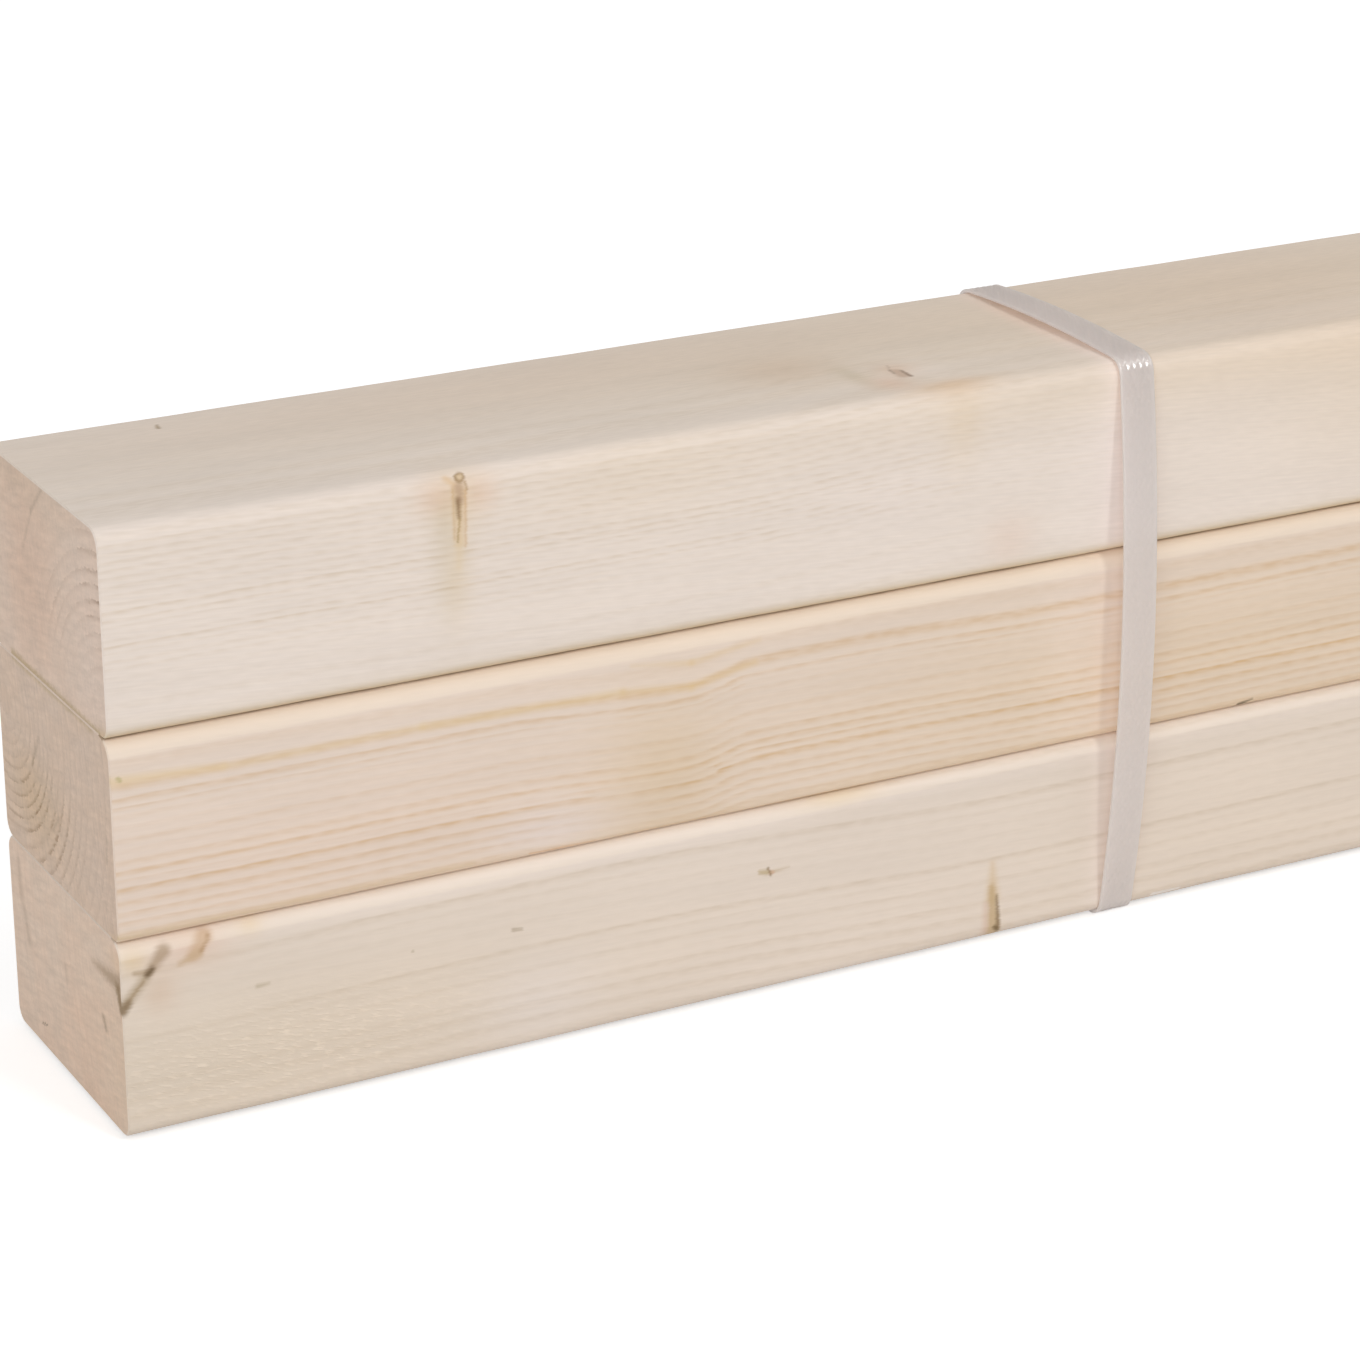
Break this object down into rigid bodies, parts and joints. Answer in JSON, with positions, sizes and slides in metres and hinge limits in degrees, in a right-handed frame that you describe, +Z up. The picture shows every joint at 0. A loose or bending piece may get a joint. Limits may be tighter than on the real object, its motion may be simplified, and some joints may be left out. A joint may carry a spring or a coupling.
{
  "type": "bundle of wooden battens",
  "caption": "Bundle of planed, round-edged softwood battens stacked flat and tied with flat plastic straps near both ends.",
  "frame": {"origin": "middle of the bundle's footprint, on the floor that the undersides of the straps lie on", "axes": "+X along the battens, away from the end that the picture shows; -Y out of the front faces; +Z up"},
  "size_m": [2, 0.0666, 0.1227],
  "materials": {
    "planed_spruce": "planed, untreated",
    "polypropylene_strap": "embossed, translucent natural white"
  },
  "bodies": {
    "root": {"batten_bottom": "planed_spruce", "batten_middle": "planed_spruce", "batten_top": "planed_spruce", "strap_near": "polypropylene_strap", "strap_far": "polypropylene_strap"}
  },
  "joints": []
}
